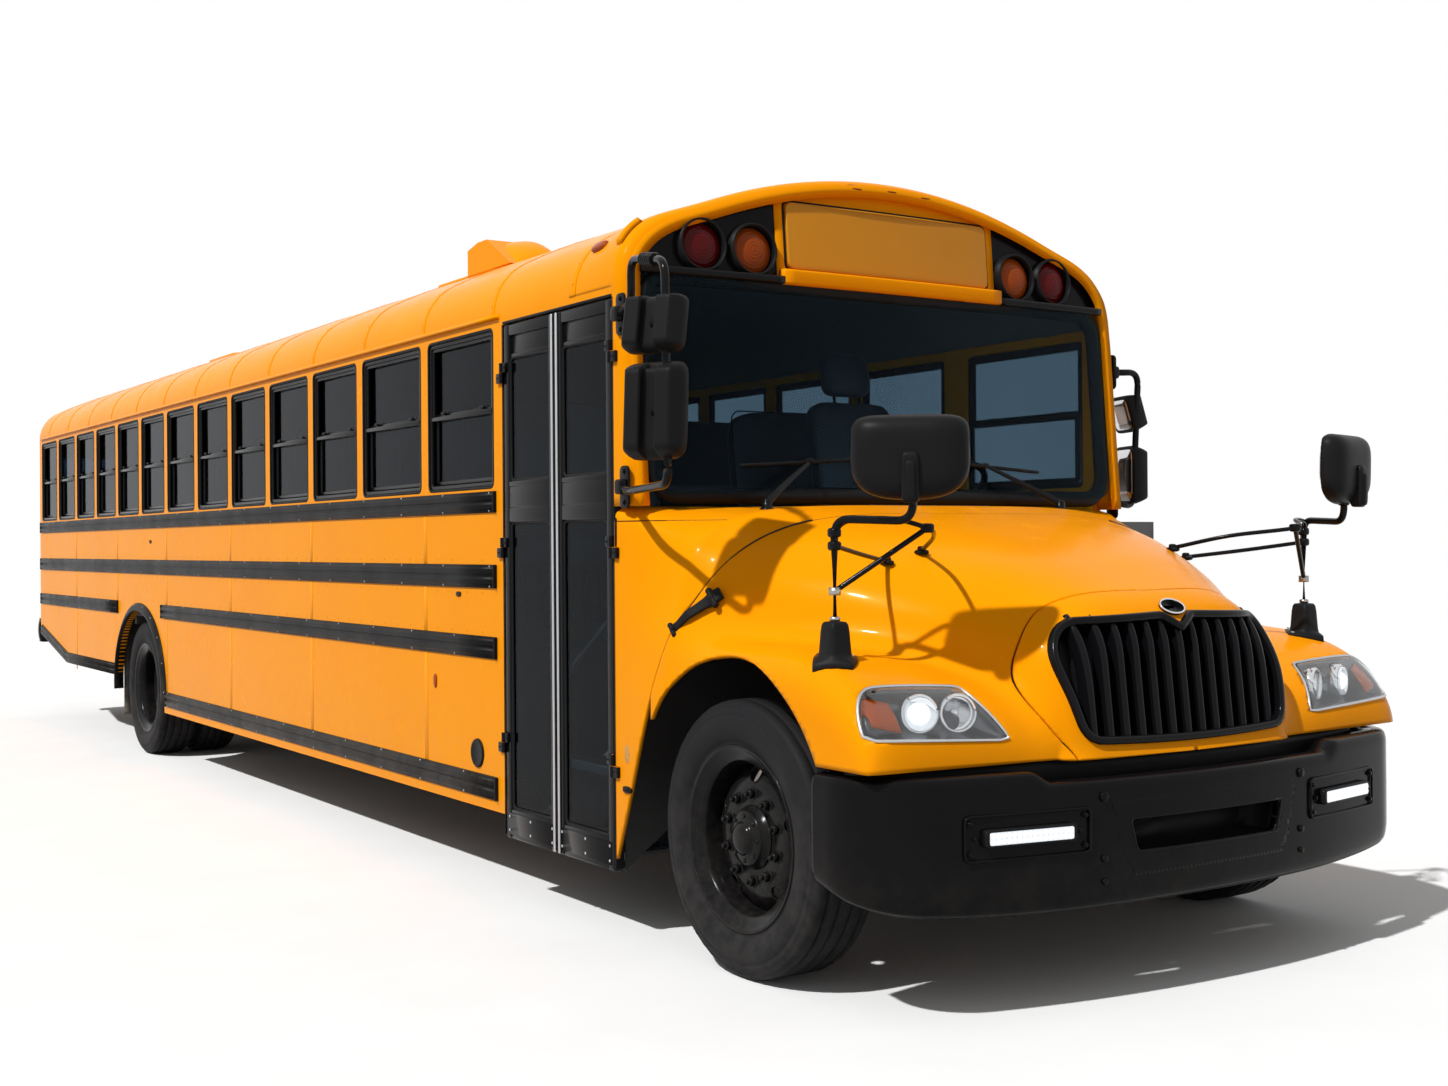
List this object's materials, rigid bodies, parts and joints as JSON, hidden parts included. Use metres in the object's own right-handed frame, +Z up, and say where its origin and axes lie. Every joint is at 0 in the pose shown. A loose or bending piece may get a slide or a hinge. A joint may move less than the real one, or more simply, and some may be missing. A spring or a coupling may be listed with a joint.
{
  "type": "school bus",
  "caption": "Conventional school bus with a tilting hood, folding entrance door, rear emergency door, stop arm, roof hatches, steered front wheels and twin rear wheels.",
  "frame": {"origin": "on the ground below the middle of the bus", "axes": "+X forward, +Y to the left side of the bus, +Z up"},
  "size_m": [11.74, 3.0099, 2.9008],
  "materials": {
    "yellow_paint": "gloss",
    "black_paint": "satin",
    "black_plastic": "matt",
    "chassis_black": "satin",
    "cast_metal": "rough",
    "pipe_steel": "worn",
    "grab_steel": "satin",
    "floor_rubber": "matt",
    "flap_rubber": "matt",
    "tyre": "matt",
    "wheel_paint": "gloss",
    "clear_glass": "gloss",
    "lamp_glass": "gloss",
    "red_lens": "gloss",
    "amber_lens": "gloss",
    "white_lens": "gloss",
    "seat_vinyl": "satin",
    "dash_plastic": "matt",
    "stop_red": "gloss"
  },
  "bodies": {
    "coach": {"frame_rails": "chassis_black", "tow_eyes": "chassis_black", "front_axle": "chassis_black", "rear_axle": "chassis_black", "drivetrain": "cast_metal", "fuel_tank": "chassis_black", "exhaust": "pipe_steel", "floor": "floor_rubber", "side_wall_right": "yellow_paint", "side_wall_left": "yellow_paint", "window_sashes": "black_paint", "window_glass": "clear_glass", "roof": "yellow_paint", "front_cap": "yellow_paint", "windshield": "clear_glass", "lamp_panels": "black_plastic", "sign_board": "yellow_paint", "rear_wall": "yellow_paint", "door_frame": "yellow_paint", "rub_rails": "black_paint", "cowl": "yellow_paint", "front_bumper": "black_plastic", "lamps_white": "white_lens", "lamps_red": "red_lens", "lamps_amber": "amber_lens", "rear_bumper": "black_paint", "seats": "seat_vinyl", "driver_seat": "seat_vinyl", "dashboard": "dash_plastic", "step_well": "floor_rubber", "handrails": "grab_steel", "mirror_arms": "black_paint", "mirror_heads": "black_plastic", "wipers": "black_paint", "mud_flaps": "flap_rubber", "stop_bracket": "black_paint"},
    "hood": {"hood": "yellow_paint", "grille": "black_plastic", "headlamps": "lamp_glass", "cross_mirrors": "black_plastic"},
    "entry_leaf_rear": {"door_leaf_rear": "black_paint", "door_leaf_rear_glass": "clear_glass"},
    "entry_leaf_front": {"door_leaf_front": "black_paint", "door_leaf_front_glass": "clear_glass"},
    "emergency_door": {"rear_door": "yellow_paint", "rear_door_glass": "clear_glass"},
    "stop_sign": {"stop_arm": "stop_red"},
    "hatch_front": {"roof_hatch_front": "yellow_paint"},
    "hatch_rear": {"roof_hatch_rear": "yellow_paint"},
    "steer_right": {"knuckle_right": "cast_metal"},
    "steer_left": {"knuckle_left": "cast_metal"},
    "front_wheel_right": {"tyre_front_right": "tyre", "wheel_front_right": "wheel_paint"},
    "front_wheel_left": {"tyre_front_left": "tyre", "wheel_front_left": "wheel_paint"},
    "rear_wheels_right": {"tyres_rear_right": "tyre", "wheels_rear_right": "wheel_paint"},
    "rear_wheels_left": {"tyres_rear_left": "tyre", "wheels_rear_left": "wheel_paint"}
  },
  "joints": [
    {"name": "hood_tilt", "type": "hinge", "parent": "coach", "child": "hood", "pos_m": [5.786, 0, 0.73], "axis": [0, 1, 0], "range_deg": [0, 65]},
    {"name": "entry_front_swing", "type": "hinge", "parent": "coach", "child": "entry_leaf_front", "pos_m": [4.217, -1.228, 1.2], "axis": [0, 0, 1], "range_deg": [0, 88]},
    {"name": "entry_rear_swing", "type": "hinge", "parent": "coach", "child": "entry_leaf_rear", "pos_m": [3.333, -1.228, 1.2], "axis": [0, 0, 1], "range_deg": [-88, 0]},
    {"name": "emergency_door_swing", "type": "hinge", "parent": "coach", "child": "emergency_door", "pos_m": [-5.729, -0.43, 1.6], "axis": [0, 0, 1], "range_deg": [0, 100]},
    {"name": "stop_sign_swing", "type": "hinge", "parent": "coach", "child": "stop_sign", "pos_m": [3.16, 1.257, 1.44], "axis": [0, 0, -1], "range_deg": [0, 90]},
    {"name": "hatch_front_lift", "type": "hinge", "parent": "coach", "child": "hatch_front", "pos_m": [1.386, 0, 2.862], "axis": [0, 1, 0], "range_deg": [0, 60]},
    {"name": "hatch_rear_lift", "type": "hinge", "parent": "coach", "child": "hatch_rear", "pos_m": [-3.014, 0, 2.862], "axis": [0, 1, 0], "range_deg": [0, 60]},
    {"name": "steering_right", "type": "hinge", "parent": "coach", "child": "steer_right", "pos_m": [4.92, -0.872, 0.452], "axis": [0, 0, 1], "range_deg": [-32, 32]},
    {"name": "steering_left", "type": "hinge", "parent": "coach", "child": "steer_left", "pos_m": [4.92, 0.872, 0.452], "axis": [0, 0, 1], "range_deg": [-32, 32]},
    {"name": "front_wheel_right_spin", "type": "hinge", "parent": "steer_right", "child": "front_wheel_right", "pos_m": [4.92, -1.0465, 0.452], "axis": [0, 1, 0], "continuous": true},
    {"name": "front_wheel_left_spin", "type": "hinge", "parent": "steer_left", "child": "front_wheel_left", "pos_m": [4.92, 1.0465, 0.452], "axis": [0, 1, 0], "continuous": true},
    {"name": "rear_wheels_right_spin", "type": "hinge", "parent": "coach", "child": "rear_wheels_right", "pos_m": [-2.38, -0.9215, 0.452], "axis": [0, 1, 0], "continuous": true},
    {"name": "rear_wheels_left_spin", "type": "hinge", "parent": "coach", "child": "rear_wheels_left", "pos_m": [-2.38, 0.9215, 0.452], "axis": [0, 1, 0], "continuous": true}
  ],
  "couplings": [
    {"joint": "steering_left", "follows": "steering_right", "ratio": 1},
    {"joint": "entry_rear_swing", "follows": "entry_front_swing", "ratio": -1}
  ]
}
